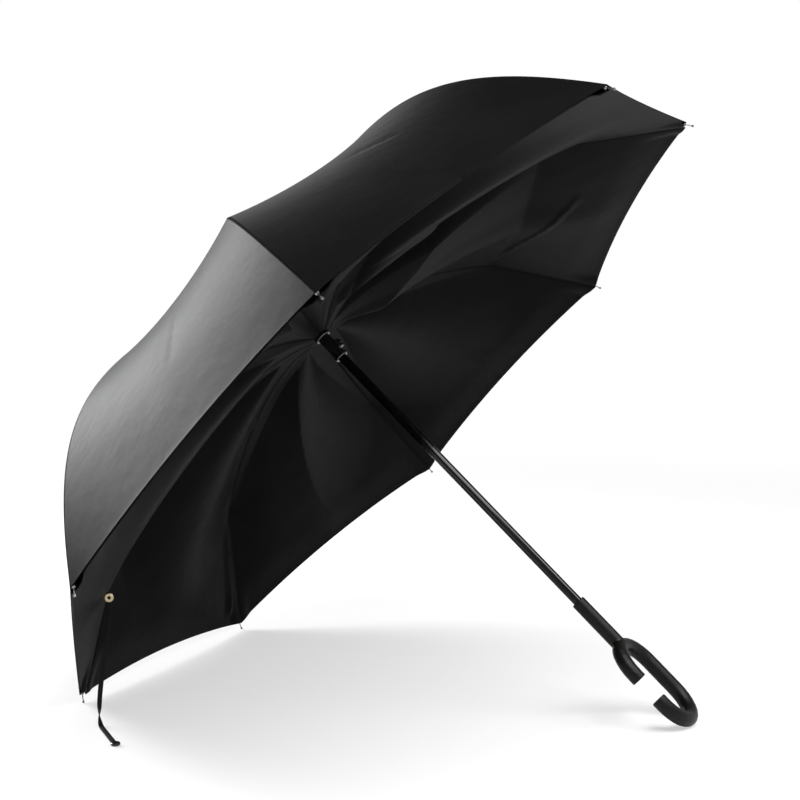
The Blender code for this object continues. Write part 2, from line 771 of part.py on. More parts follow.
def add_hub(parts, cutters, paint, root):
    collar_top = inner_clamp_height() - CLOTH_THICKNESS - CLEARANCE
    ring_bottom = runner_bottom()
    pressed = Matrix.Rotation(BUTTON_ANGLE, 4, "Z") @ Matrix.Rotation(math.pi / 2, 4, "Y")
    pressed = Matrix.Translation((0, 0, BUTTON_HEIGHT)) @ pressed
    collar = band_mesh("collar", COLLAR_RADIUS, collar_top - COLLAR_HEIGHT, collar_top)
    ring = band_mesh("ring", RING_RADIUS, ring_bottom, ring_bottom + RING_HEIGHT)
    pieces = (
        ("top_notch", notch_mesh(cutters), "plastic", None),
        ("notch_wire", wire_mesh("notch_wire", notch_wire_radius(), notch_hinge()[1]), "nickel", None),
        ("top_cap", cap_mesh(), "plastic", None),
        ("runner", runner_mesh(cutters), "plastic", None),
        ("runner_wire", wire_mesh("runner_wire", *runner_hinge()), "nickel", None),
        ("runner_collar", collar, "nickel", None),
        ("runner_ring", ring, "nickel", None),
        ("lock_button", button_mesh(), "plastic", pressed),
        ("button_spring", spring_mesh(), "nickel", pressed),
    )
    for name, mesh, finish, place in pieces:
        add_object(name, mesh, parts, paint[finish], root, place)


# Shaft and handle

def shut_travel():
    """How far the runner slides down until the rib joints reach their closed radius."""
    joint = joint_place()
    top_length, _ = reach_and_pitch(notch_hinge(), joint)
    strut_length, _ = reach_and_pitch(runner_hinge(), joint)
    top_drop = math.sqrt(top_length**2 - (CLOSED_JOINT_RADIUS - NOTCH_HINGE_RADIUS) ** 2)
    strut_drop = math.sqrt(strut_length**2 - (CLOSED_JOINT_RADIUS - RUNNER_HINGE_RADIUS) ** 2)
    return top_drop + strut_drop - (notch_hinge()[1] - runner_hinge()[1])


def handle_top():
    """The handle's upper end, below the place where the closed runner parks."""
    return runner_bottom() - shut_travel() - PARK_GAP


def loop_top():
    return handle_top() - SOCKET_LENGTH


def loop_bottom():
    return loop_top() - LOOP_LENGTH


def shaft_mesh():
    top, bottom = stem_shelf() - 2 * CLEARANCE, handle_top() - SOCKET_DEPTH + CLEARANCE
    inside = SHAFT_RADIUS - SHAFT_WALL
    profile = [(inside, bottom), (SHAFT_RADIUS, bottom), (SHAFT_RADIUS, top), (inside, top)]
    return turned_mesh("shaft_tube", profile, HUB_SIDES)


def loop_route():
    """The C handle's centre line: its short arm, over the top, down the back and round the bottom."""
    width = LOOP_HALF_WIDTH
    top, bottom = loop_top() - width, loop_bottom() + width
    arc = [math.pi * i / ARC_STEPS for i in range(ARC_STEPS + 1)]
    over = [(0, -width * math.cos(a), top + width * math.sin(a)) for a in arc]
    under = [(0, width * math.cos(a), bottom - width * math.sin(a)) for a in arc]
    return [(0, -width, top - SHORT_ARM), *over, *under, (0, -width, bottom + LOWER_ARM)]


def handle_mesh(cutters):
    """The C loop with its straight socket, the shaft's bore and a small flat where it rests."""
    loop = tube_mesh("handle", loop_route(), GRIP_RADIUS, 4)
    socket = cylinder_mesh("socket", SOCKET_RADIUS, loop_top(), handle_top(), 20)
    body = combined(loop, [socket], "UNION", cutters)
    bore_low, bore_high = handle_top() - SOCKET_DEPTH, handle_top() + OVERRUN
    bore = cylinder_mesh("bore", SHAFT_RADIUS + CLEARANCE, bore_low, bore_high, HUB_SIDES)
    reach = 2 * LOOP_HALF_WIDTH
    ground = box_mesh("ground", (-reach, -reach, -reach), (reach, reach, 0))
    below_loop = Matrix.Translation((-loop_bottom() * math.sin(tilt()), 0, 0))
    ground.transform(resting_matrix().inverted() @ below_loop)
    return combined(body, [bore, ground], "DIFFERENCE", cutters)


# Resting place

def tilt():
    """How far the upright umbrella leans so that two rib balls and the handle's flat are level."""
    ball = ball_place()
    along = ball[1] - loop_bottom()
    across = ball[0] * math.cos(FIRST_RIB_ANGLE)
    step = BALL_RADIUS - (GRIP_RADIUS - REST_FLAT)
    return math.acos(step / math.hypot(along, across)) - math.atan2(across, along)


def resting_matrix():
    """Leans the upright umbrella over with its handle towards +X and lifts it onto the floor."""
    height = GRIP_RADIUS - REST_FLAT - loop_bottom() * math.cos(tilt())
    return Matrix.Translation((0, 0, height)) @ Matrix.Rotation(-tilt(), 4, "Y")


def center_over_origin(root, parts):
    """Slides the carrier sideways so that the whole object's box is centred over the origin."""
    bpy.context.view_layer.update()
    graph = bpy.context.evaluated_depsgraph_get()
    places = []
    for item in parts.objects:
        if item.type == "MESH":
            solid = item.evaluated_get(graph)
            places += [solid.matrix_world @ vert.co for vert in solid.data.vertices]
    middle = [(min(p[axis] for p in places) + max(p[axis] for p in places)) / 2 for axis in (0, 1)]
    root.matrix_basis = Matrix.Translation((-middle[0], -middle[1], 0)) @ root.matrix_basis


# Strap

def strap_anchor():
    """Where the strap is sewn to the inner cloth, on a facet of its lower face, and which way it faces."""
    corner = inner_corner()
    row = HEM_ROWS * STRAP_INSET / (corner[0] - tie_place()[0])
    panel_width = 2 * (corner[0] - STRAP_INSET) * math.sin(math.pi / RIB_COUNT)
    column = INNER_COLUMNS * STRAP_BESIDE / panel_width
    low_row, low_column = math.floor(row), math.floor(column)
    sides = []
    for near_row in (low_row, low_row + 1):
        ends = [inner_point(near_row, STRAP_RIB - 1, (low_column + i) / INNER_COLUMNS) for i in (0, 1)]
        sides.append(ends[0].lerp(ends[1], column - low_column))
        across = ends[1] - ends[0]
    facing = (sides[1] - sides[0]).cross(across).normalized()
    return sides[0].lerp(sides[1], row - low_row) + facing * CLOTH_THICKNESS, facing


def level_direction(heading):
    return Vector((math.cos(heading), math.sin(heading), 0))


def stud_facing():
    """The way that the strap's front and the stud face at the sewn end."""
    return level_direction(STRAP_HEADING - STRAP_TOP_TURN)


def stud_center(resting):
    """The strap's middle behind the stud, just far enough from the cloth to clear the stud's rim."""
    anchor, facing = strap_anchor()
    out = resting.to_3x3() @ facing
    turned = out.dot(stud_facing())
    front = STRAP_THICKNESS / 2 + STUD_SEAT + STUD_HEIGHT
    reach = STUD_RADIUS * math.sqrt(1 - turned**2) + front * max(0.0, -turned)
    return resting @ anchor + out * (reach + STUD_CLOTH_GAP)


def stud_mesh():
    """A snap stud along Z from the strap's front: a rolled ring round its socket."""
    edge = STUD_HEIGHT / 3
    foot = STRAP_THICKNESS / 2 + STUD_SEAT
    top = foot + STUD_HEIGHT
    profile = [(0, foot), (STUD_RADIUS - edge, foot), (STUD_RADIUS, foot + edge), (STUD_RADIUS, top - edge)]
    profile += [(STUD_RADIUS - edge, top), (STUD_EYE_RADIUS + edge, top), (STUD_EYE_RADIUS, top - edge)]
    profile += [(STUD_EYE_RADIUS, foot + edge), (0, foot + edge)]
    return turned_mesh("strap_stud", profile, 20)


def snap_mesh():
    """The snap cap at the strap's free end along Z, with the socket in its face."""
    edge = SNAP_HEIGHT / 4
    profile = [(0, 0), (SNAP_RADIUS - edge, 0), (SNAP_RADIUS, edge), (SNAP_RADIUS, SNAP_HEIGHT - edge)]
    profile += [(SNAP_RADIUS - edge, SNAP_HEIGHT), (STUD_EYE_RADIUS, SNAP_HEIGHT)]
    profile += [(STUD_EYE_RADIUS, SNAP_HEIGHT - edge), (0, SNAP_HEIGHT - edge)]
    return turned_mesh("strap_snap", profile, 16)


def eased(share):
    inside = min(max(share, 0.0), 1.0)
    return inside * inside * (3 - 2 * inside)


def strap_route(resting):
    """The strap's middle line: its places, its directions, and how far it has turned round itself.

    It hangs from above the stud, bends over on the floor and lies there, turned half way round.
    """
    start = stud_center(resting)
    start.z += STRAP_HEM
    level = STRAP_THICKNESS / 2 + CLEARANCE
    hang = start.z - level - STRAP_BEND_RADIUS
    quarter = STRAP_BEND_RADIUS * math.pi / 2
    step = STRAP_LENGTH / STRAP_STEPS
    ahead, aside = level_direction(STRAP_HEADING), level_direction(STRAP_DRIFT_HEADING)
    lift, stations = Vector((0, 0, 0)), []
    for i in range(STRAP_STEPS + 1):
        run = i * step
        lean = min(max((run - step / 2 - hang) / quarter, 0.0), 1.0) * math.pi / 2
        if i:
            lift += step * (ahead * math.sin(lean) - Vector((0, 0, math.cos(lean))))
        drift = STRAP_DRIFT * eased((run - STRAP_HEM) / hang)
        slow = STRAP_TOP_TURN + STRAP_HANG_TURN * min(run / hang, 1.0)
        quick = eased((run - hang + STRAP_TURN_START) / (quarter + STRAP_TURN_START))
        place = start + lift + aside * drift
        place.z = max(place.z, level)
        stations.append((place, lean, slow + (math.pi - slow) * quick))
    return stations


def strap_mesh(resting):
    """A flat tape that turns half way round as it reaches the floor, and lies flat there."""
    ahead, level_side = level_direction(STRAP_HEADING), level_direction(STRAP_HEADING + math.pi / 2)
    work = bmesh.new()
    rails = []
    for place, lean, turn in strap_route(resting):
        along = ahead * math.sin(lean) - Vector((0, 0, math.cos(lean)))
        across = level_side * math.cos(turn) + along.cross(level_side) * math.sin(turn)
        half = across * STRAP_WIDTH / 2
        rails.append((work.verts.new(place - half), work.verts.new(place + half)))
    for low, high in zip(rails, rails[1:]):
        work.faces.new((low[0], low[1], high[1], high[0]))
    mesh = bpy.data.meshes.new("strap")
    work.to_mesh(mesh)
    work.free()
    return smooth(mesh, 80)


def add_strap(parts, paint, root):
    resting = resting_matrix()
    back = resting.inverted()
    facing = stud_facing().to_track_quat("Z", "Y").to_matrix().to_4x4()
    stud_place = back @ Matrix.Translation(stud_center(resting)) @ facing
    add_object("strap_stud", stud_mesh(), parts, paint["nickel"], root, stud_place)
    strap = add_object("strap", strap_mesh(resting), parts, paint["tape"], root, back)
    wall = strap.modifiers.new("tape", "SOLIDIFY")
    wall.thickness = STRAP_THICKNESS
    wall.offset = 0
    end = strap_route(resting)[-1][0] + (SNAP_RADIUS + CLEARANCE) * level_direction(STRAP_HEADING)
    end.z = CLEARANCE
    add_object("strap_snap", snap_mesh(), parts, paint["plastic"], root, back @ Matrix.Translation(end))


def make_materials():
    return {
        "cloth": make_material("canopy_cloth", (0.014, 0.014, 0.016), 0.55),
        "steel": make_material("black_steel", (0.020, 0.020, 0.020), 0.30, 0.6),
        "enamel": make_material("shaft_enamel", (0.010, 0.010, 0.011), 0.18, 0.3),
        "grip": make_material("grip_rubber", (0.018, 0.017, 0.015), 0.60),
        "plastic": make_material("hub_plastic", (0.012, 0.012, 0.013), 0.25),
        "rod": make_material("glass_fibre", (0.030, 0.030, 0.030), 0.35),
        "nickel": make_material("nickel", (0.72, 0.70, 0.66), 0.22, 1.0),
        "tape": make_material("strap_tape", (0.020, 0.020, 0.020), 0.80),
    }


def build():
    clear_scene()
    parts = make_collection("inverted_umbrella")
    cutters = make_collection("cutters")
    cutters.hide_render = True
    paint = make_materials()
    root = bpy.data.objects.new("umbrella_axis", None)
    parts.objects.link(root)
    root.matrix_basis = resting_matrix()
    add_object("shaft_tube", shaft_mesh(), parts, paint["enamel"], root)
    add_object("handle", handle_mesh(cutters), parts, paint["grip"], root)
    add_hub(parts, cutters, paint, root)
    add_ribs(parts, cutters, paint, root)
    outer = sheet_mesh("outer_canopy", OUTER_ROWS + 1, OUTER_COLUMNS, outer_point)
    add_cloth("outer_canopy", outer, parts, paint["cloth"], root)
    inner = sheet_mesh("inner_canopy", HEM_ROWS + HUB_ROWS + 1, INNER_COLUMNS, inner_point)
    add_cloth("inner_canopy", inner, parts, paint["cloth"], root)
    add_strap(parts, paint, root)
    center_over_origin(root, parts)


build()
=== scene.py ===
"""The look of an open inverted umbrella: its two cloth canopies, C handle, strap and finishes.

The upright frame has the umbrella's axis on Z and its hem corners at zero height. Places on the
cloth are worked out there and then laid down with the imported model.
"""

import json
import math

import bpy
import numpy as np
from mathutils import Matrix, Vector


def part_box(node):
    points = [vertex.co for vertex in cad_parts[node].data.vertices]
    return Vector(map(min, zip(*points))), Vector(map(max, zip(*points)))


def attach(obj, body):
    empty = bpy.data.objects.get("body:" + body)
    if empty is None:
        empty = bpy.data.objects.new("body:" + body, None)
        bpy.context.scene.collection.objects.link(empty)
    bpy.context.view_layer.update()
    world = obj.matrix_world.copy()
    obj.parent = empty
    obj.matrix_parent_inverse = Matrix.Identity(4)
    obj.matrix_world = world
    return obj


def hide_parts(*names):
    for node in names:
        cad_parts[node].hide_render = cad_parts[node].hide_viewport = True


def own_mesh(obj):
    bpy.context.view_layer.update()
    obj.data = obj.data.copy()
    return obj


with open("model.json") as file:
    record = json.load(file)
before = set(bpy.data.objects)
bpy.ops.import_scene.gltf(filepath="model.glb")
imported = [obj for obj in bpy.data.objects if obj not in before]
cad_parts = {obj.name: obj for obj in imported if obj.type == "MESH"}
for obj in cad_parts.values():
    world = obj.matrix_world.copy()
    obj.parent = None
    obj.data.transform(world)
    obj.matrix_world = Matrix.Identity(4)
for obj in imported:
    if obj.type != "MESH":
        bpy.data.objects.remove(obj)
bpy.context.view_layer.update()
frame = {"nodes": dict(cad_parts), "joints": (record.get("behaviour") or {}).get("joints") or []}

# Ribs, and the outer cloth's seam along each, in the upright frame
RIB_COUNT = 8
FIRST_RIB_ANGLE = math.radians(-22.5)
RUNNER_HINGE_HEIGHT = 0.131
SPAN_RADIUS = 0.525
CROWN_HEIGHT = 0.236
CROWN_RADIUS = 0.0158
CROWN_REACH = 0.300
CROWN_SLOPE = math.radians(1.5)
CROWN_CLOSING = 0.30
TIP_REACH = 0.250
TIP_SLOPE = math.radians(57)

# The inner cloth's seam: the radius and height of its tie, its clamp and what it aims at
INNER_CORNER_DROP = 0.0071
TIE = (0.370, 0.1065)
TIE_AIM = (0.240, 0.147)
HUB_AIM = (0.100, 0.160)
HUB_CLAMP = (0.0164, 0.1255)
HUB_CLOSING = 0.20

# The bend at the tie is eased between the ribs, by panel where it isn't alike
TIE_EASE_SHARE = 0.8
TIE_EASE_SHARES = {2: 0.03}
TIE_EASE_LEAST = 0.001

# Thickness of the cloth, doubled at the seams and the hem
CLOTH_THICKNESS = 0.0004
SEAM_THICKNESS = 0.0011
SEAM_HALF_WIDTH = 0.0028
HEM_THICKNESS = 0.0011
HEM_WIDTH = 0.0060
STEP_WIDTH = 0.0006
HUB_CLEAR_RADIUS = 0.022

# Sag and slack between the ribs, the slack's share by panel where it isn't whole
HEM_SCALLOP = 0.005
HEM_LIFT = 0.010
PANEL_SAG = 0.013
SAG_LEAN_SHARE = 0.8
INNER_SLACK = 0.014
SLACK_SHARES = {3: 0.5, 4: 0.3, 5: 0.1}

# The inner hem rises to the outer one, but not beside a rib
HEM_RISE = 0.0055
HEM_RISE_SHARE = 0.35
RIB_ROOM = 0.006
RIB_ROOM_EASE = 0.018

# The loose fold of each inner panel: its depth by panel, and the one that is sharp and narrow
FOLD_DEPTH = 0.012
FOLD_SCALES = {1: 0.5, 2: 0.4, 3: 0.15, 4: 0.8, 5: 0.15, 6: 0.3, 7: 0.3, 8: 0.5}
FOLD_HEM_SHARE = 0.45
FOLD_HUB_SHARE = 0.70
FOLD_WIDTH_SHARE = 0.22
FOLD_FAR_WIDTH_SHARES = {4: 0.16}
FOLD_SHARP_SHARES = {4: 0.8}
FOLD_SHARP_POWER = 1.5

# The pocket of slack cloth that hangs from the line between two ties
POCKET_PANEL = 2
POCKET_DEPTH = 0.026
POCKET_CREST_SHARE = 1.40
POCKET_CREST_SLANT = 0.42
POCKET_END_SHARE = 1.96
POCKET_SIDE_SHARES = (0.15, 0.3)

# Creases by panel: start and end in shares along and across, then width, depth and lean
INNER_CREASES = {
    1: [((1.38, 0.62), (1.85, 0.40), 0.012, 0.006, 0.4)],
    2: [((1.03, 0.95), (0.60, 0.36), 0.010, 0.003, 0.4)],
    5: [((1.06, 0.03), (0.12, 0.06), 0.010, 0.005, 0.3),
        ((1.53, 0.30), (1.42, 0.02), 0.012, 0.006, 0.3)],
}
OUTER_CREASES = {
    7: [((0.40, 0.62), (0.19, 0.53), 0.014, 0.0012, 0.4)],
    8: [((0.35, 0.52), (0.28, 0.66), 0.014, 0.0010, 0.4)],
}
CREASE_FADE = 0.030
CREASE_POWER = 1.2

# Lengths of a panel laid out flat: the inner one to its tie and on to the hub, and the outer one
TIP_ZONE = 0.185
HUB_ZONE = 0.360
OUTER_LENGTH = 0.600

# Where each sheet is split at the rib joints, in shares along it, and how the inner parts overlap
OUTER_JOINT_SHARE = 0.632
INNER_JOINT_SHARE = 1.30
TUCK_SHARES = (1.12, 1.48)
TUCK_STEP_SHARE = 0.02
TUCK_GAP = 0.0016

# What each leaf keeps of its width when the umbrella is shut
TIP_KEEP = 0.34
CROWN_KEEP = 0.35
HUB_KEEP = 0.50

# The cloth's points: columns across half a panel, and rows in shares along the sheet
CLOTH_COLUMNS = 36
SEAM_SHARE_MOST = 0.18
STEP_SHARE_MOST = 0.04
HEM_ROWS = (0.0, 0.006, 0.012, 0.0135)
INNER_HEM_STRETCH = 2.6
OUTER_TIP_START = 0.022
OUTER_TIP_COUNT = 60
CROWN_COUNT = 24
CROWN_EDGE_ROWS = (1.02, 1.04)
INNER_TIP_START = 0.05
INNER_TIP_COUNT = 90
HUB_COUNT = 70
HUB_EDGE_ROWS = (2.02, 2.04)
TUCK_COUNT = 17
SLOPE_STEP = 0.001
NORMAL_STEP = 0.002

# Handle and strap
MERGE_DISTANCE = 0.00001
HANDLE_GRAIN = 0.0011
HANDLE_ROUNDS = 6
STRAP_EDGE = 0.0003
STRAP_SMOOTH_ANGLE = math.radians(40)

# Weave, seam line and stitches, their places and sizes in metres
THREAD_PITCH = 0.0007
THREAD_DEPTH = 0.00006
THREAD_RISE_SHARES = (0.0, 0.9)
TWILL_PITCH = 0.0008
TWILL_DEPTH = 0.0001
SOFT_CREASE_DEPTH = 0.0012
SEAM_LINE = (0.0010, 0.0024)
SEAM_LINE_ROUGHNESS = 0.55
SEAM_STITCH = 0.0020
HEM_STITCH = 0.0050
STITCH_HALF_WIDTH = 0.00025
STITCH_PITCH = 0.0032
STITCH_SHARE = 0.65
STITCH_DEPTH = 0.00035

# The cloth's sheen, patches of slightly other colour and gloss, and the painted shade in the stud's
# hollow middle
SATIN_TINT = (0.93, 0.98, 1.0, 1.0)
CLOTH_PATCH_EDGES = (0.35, 0.75)
CLOTH_ROUGHNESS_RANGE = 0.10
PATCH_EDGES = (0.4, 0.8)
PATCH_ROUGHNESS_RANGE = 0.12
STUD_ROUGHNESS_RANGE = 0.15
HOLLOW_SHADE_EDGES = (0.0019, 0.0023)
PAINTED_HOLLOW_SHADE = (0.015, 0.014, 0.012)

# Camera, from the middle of the hem's plane
CAMERA_OFFSET = Vector((0.7097, -1.6646, 0.1637))
CAMERA_AZIMUTH = math.radians(22.6)
CAMERA_ELEVATION = math.radians(5)
CAMERA_LENS = 65.05
SENSOR_WIDTH = 36.0

# Softboxes: place, aim, size and power
SOFTBOXES = {
    "left_softbox": ((-2.50, 0.30, 1.28), (-0.25, -0.1, 0.4), (1.3, 1.5), 115),
    "back_softbox": ((-1.6, 1.8, 1.87), (0, -0.1, 0.6), (0.9, 0.9), 3.6),
    "top_softbox": ((1.3, -0.7, 3.0), (0.3, -0.1, 0.0), (2.2, 2.2), 130),
    "key_softbox": ((1.9, 0.4, 1.9), (0.2, 0, 0.2), (0.8, 0.8), 18),
}

# Floor and room
FLOOR_SIZE = 40.0
FLOOR_ROUGHNESS = 0.9
FLOOR_SEEN = (0.86, 0.86, 0.86)
FLOOR_BOUNCE = (0.38, 0.38, 0.38)
FLOOR_GLOW_SHARE = 0.55
MIRROR_GLOW_SHARE = 0.3
FLOOR_FAR = (0.9, 2.6)
ROOM_GLOW = 0.12
CEILING_GLOW = 0.1
WALL_GLOW = 0.6
CEILING_EDGE = (0.15, 0.6)


# The upright frame

def mean_joint(kind):
    """The middle of the eight joints of one kind, which lies on the umbrella's axis."""
    joints = [joint for joint in frame["joints"] if joint["name"].startswith(kind)]
    places = [Vector(joint["pos_m"]) for joint in joints]
    return sum(places, Vector()) / len(places)


def upright_matrix():
    """From the upright frame to the place where the umbrella lies."""
    slide = next(joint for joint in frame["joints"] if joint["name"] == "runner_slide")
    up = -Vector(slide["axis"]).normalized()
    side = Vector((0, 1, 0))
    foot = mean_joint("strut_hinge") - up * RUNNER_HINGE_HEIGHT
    turn = Matrix((side.cross(up), side, up)).transposed().to_4x4()
    return Matrix.Translation(foot) @ turn


UPRIGHT = upright_matrix()


def turned(directions):
    """Rows of directions in the upright frame, turned as the umbrella lies."""
    return np.asarray(directions) @ np.array(UPRIGHT.to_3x3()).T


def laid(points):
    """Rows of points in the upright frame, where they lie in the world."""
    return turned(points) + np.array(UPRIGHT.translation)


def rib_angle(number):
    """The angle of a rib, the first being number 1."""
    return FIRST_RIB_ANGLE + math.tau * (number - 1) / RIB_COUNT


def middle_angle(panel):
    """The angle midway between a panel's two ribs."""
    return (rib_angle(panel) + rib_angle(panel + 1)) / 2


def panel_number(panel):
    """A panel's number from 1 to 8. Panel 0, before the first rib, is the last one."""
    return (panel - 1) % RIB_COUNT + 1


def panel_width(radius):
    """The straight distance between two neighbouring ribs at a radius."""
    return 2 * radius * math.sin(math.pi / RIB_COUNT)


# Camera and lights

def add_camera():
    """The camera at the photograph's angle."""
    camera = bpy.data.objects.new("camera", bpy.data.cameras.new("camera"))
    bpy.context.scene.collection.objects.link(camera)
    camera.data.lens = CAMERA_LENS
    camera.data.sensor_width = SENSOR_WIDTH
    camera.location = UPRIGHT.translation + CAMERA_OFFSET
    camera.rotation_euler = (math.pi / 2 - CAMERA_ELEVATION, 0, CAMERA_AZIMUTH)
    bpy.context.scene.camera = camera


def add_softboxes():
    """Soft lamps, each turned to its aim."""
    for name, (place, aim, size, power) in SOFTBOXES.items():
        light = bpy.data.lights.new(name, "AREA")
        light.shape = "RECTANGLE"
        light.size, light.size_y = size
        light.energy = power
        lamp = bpy.data.objects.new(name, light)
        bpy.context.scene.collection.objects.link(lamp)
        lamp.location = place
        lamp.rotation_euler = (Vector(aim) - Vector(place)).to_track_quat("-Z", "Y").to_euler()


# Finishes

class Wire:
    """One output of a tree's nodes. Arithmetic on it adds the Math nodes that it needs."""

    def __init__(self, nodes, socket):
        self.nodes = nodes
        self.socket = socket

    def math(self, operation, first, second=0.0):
        return self.nodes.add("ShaderNodeMath", {0: first, 1: second}, operation=operation)

    def __add__(self, other):
        return self.math("ADD", self, other)

    def __radd__(self, other):
        return self.math("ADD", other, self)

    def __sub__(self, other):
        return self.math("SUBTRACT", self, other)

    def __rsub__(self, other):
        return self.math("SUBTRACT", other, self)

    def __mul__(self, other):
        return self.math("MULTIPLY", self, other)

    def __rmul__(self, other):
        return self.math("MULTIPLY", other, self)

    def __truediv__(self, other):
        return self.math("DIVIDE", self, other)

    def __pow__(self, other):
        return self.math("POWER", self, other)

    def __abs__(self):
        return self.math("ABSOLUTE", self)

    def below(self, limit):
        """1 where it is under a limit, and 0 elsewhere."""
        return self.math("LESS_THAN", self, limit)

    def ramp(self, low, high):
        """0 below low, 1 above high, and a smooth step between."""
        inputs = {"Value": self, "From Min": low, "From Max": high}
        return self.nodes.add("ShaderNodeMapRange", inputs, interpolation_type="SMOOTHSTEP")

    def repeat(self, pitch):
        """From 0 to 1 and again, once for each pitch."""
        return self.math("FLOORED_MODULO", self / pitch, 1.0)


class Nodes:
    """The nodes of a material or of the world."""

    def __init__(self, tree):
        self.tree = tree

    def connect(self, socket, value):
        """Gives a socket a value, or a link where the value is a wire."""
        if isinstance(value, Wire):
            self.tree.links.new(value.socket, socket)
        else:
            socket.default_value = value

    def add(self, kind, inputs=None, output=0, **settings):
        """A new node with its settings and the values or links of its sockets, as one output."""
        node = self.tree.nodes.new(kind)
        for key, value in settings.items():
            setattr(node, key, value)
        for key, value in (inputs or {}).items():
            self.connect(node.inputs[key], value)
        return None if output is None else Wire(self, node.outputs[output])

    def parts(self, vector):
        """A vector's three numbers."""
        split = self.add("ShaderNodeSeparateXYZ", {0: vector}).socket.node
        return [Wire(self, output) for output in split.outputs]

    def ray_kinds(self):
        """1 for the camera's own rays, and 1 for rays that come by a mirror or through glass."""
        path = self.add("ShaderNodeLightPath").socket.node
        camera, glossy, clear = (Wire(self, path.outputs[f"Is {kind} Ray"])
                                 for kind in ("Camera", "Glossy", "Transmission"))
        return camera, glossy.math("MAXIMUM", glossy, clear)


class Finish(Nodes):
    """A procedural material: its shader's fixed values, and the nodes that vary it."""

    def __init__(self, name, color, roughness, **fixed):
        self.material = bpy.data.materials.new(name)
        self.material.use_nodes = True
        super().__init__(self.material.node_tree)
        self.shader = self.tree.nodes["Principled BSDF"]
        self.set("Base Color", (*color, 1))
        self.set("Roughness", roughness)
        for socket, value in fixed.items():
            self.set(socket.replace("_", " ").title().replace("Ior", "IOR"), value)

    def set(self, socket, value):
        """Sets or links one socket of the shader."""
        self.connect(self.shader.inputs[socket], value)

    def place(self):
        """Object coordinates in metres."""
        return self.add("ShaderNodeTexCoord", output="Object")

    def noise(self, scale, detail, where=None):
        """Soft noise from 0 to 1, on object coordinates or where else it is given."""
        inputs = {"Vector": where or self.place(), "Scale": scale, "Detail": detail}
        return self.add("ShaderNodeTexNoise", inputs)

    def blend(self, share, first, second):
        """Two colours mixed by a share. The Mix node's colours are sockets 6 and 7, and output 2."""
        inputs = {"Factor": share, 6: (*first, 1), 7: (*second, 1)}
        return self.add("ShaderNodeMix", inputs, output=2, data_type="RGBA")

    def bump(self, height, distance, strength, under=None):
        """A normal bent by a height, on top of another bump where one is given."""
        inputs = {"Height": height, "Distance": distance, "Strength": strength}
        if under:
            inputs["Normal"] = under
        return self.add("ShaderNodeBump", inputs)


def lighter(color, scale, lift=0.0):
    """A colour as it is where the surface has faded or worn."""
    return tuple(min(1.0, value * scale + lift) for value in color)


def cloth_finish(name, color, roughness, gloss):
    """Satin pongee: a fine weave, soft creases, and a stitched line beside each seam and hem."""
    finish = Finish(name, color, roughness, specular_ior_level=gloss, specular_tint=SATIN_TINT)
    uv = finish.add("ShaderNodeUVMap", uv_map="cloth")
    across, along, _ = finish.parts(uv)
    patch = finish.noise(scale=9, detail=4, where=uv)
    faded = lighter(color, scale=1.5)
    finish.set("Base Color", finish.blend(patch.ramp(*CLOTH_PATCH_EDGES), color, faded))
    seam_line = 1 - abs(across).ramp(*SEAM_LINE)
    uneven = roughness + (patch - 0.5) * CLOTH_ROUGHNESS_RANGE
    finish.set("Roughness", uneven + seam_line * SEAM_LINE_ROUGHNESS)
    weft = across.repeat(THREAD_PITCH).ramp(*THREAD_RISE_SHARES)
    warp = along.repeat(THREAD_PITCH).ramp(*THREAD_RISE_SHARES)
    beside_seam = abs(abs(across) - SEAM_STITCH).below(STITCH_HALF_WIDTH)
    beside_hem = abs(along - HEM_STITCH).below(STITCH_HALF_WIDTH)
    seam = beside_seam * along.repeat(STITCH_PITCH).below(STITCH_SHARE)
    hem = beside_hem * across.repeat(STITCH_PITCH).below(STITCH_SHARE)
    rumple = finish.noise(scale=38, detail=3, where=uv)
    soft = finish.bump(rumple, SOFT_CREASE_DEPTH, strength=0.5)
    weave = finish.bump(weft * warp, THREAD_DEPTH, strength=0.35, under=soft)
    finish.set("Normal", finish.bump(seam + hem, STITCH_DEPTH, strength=0.8, under=weave))
    return finish.material


def plain_finish(name, color, roughness, grain, depth, **fixed):
    """A moulded or painted surface: a fine grain and slightly uneven gloss."""
    finish = Finish(name, color, roughness, **fixed)
    patch = finish.noise(scale=45, detail=3)
    worn = lighter(color, scale=1.35, lift=0.002)
    finish.set("Roughness", roughness + (patch - 0.5) * PATCH_ROUGHNESS_RANGE)
    finish.set("Base Color", finish.blend(patch.ramp(*PATCH_EDGES), color, worn))
    finish.set("Normal", finish.bump(finish.noise(grain, detail=2), depth, strength=0.5))
    return finish.material


def tape_finish(name, color, roughness):
    """A folded cloth tape: a coarse diagonal twill and slightly faded patches."""
    finish = Finish(name, color, roughness, specular_ior_level=0.12)
    east, north, up = finish.parts(finish.place())
    twill = (east + north + up).repeat(TWILL_PITCH).ramp(*THREAD_RISE_SHARES)
    cross = (east - north + up).repeat(TWILL_PITCH).ramp(*THREAD_RISE_SHARES)
    patch = finish.noise(scale=60, detail=3)
    faded = lighter(color, scale=1.6)
    finish.set("Base Color", finish.blend(patch.ramp(*PATCH_EDGES), color, faded))
    finish.set("Roughness", roughness + (patch - 0.5) * PATCH_ROUGHNESS_RANGE)
    finish.set("Normal", finish.bump(twill * cross, TWILL_DEPTH, strength=0.6))
    return finish.material


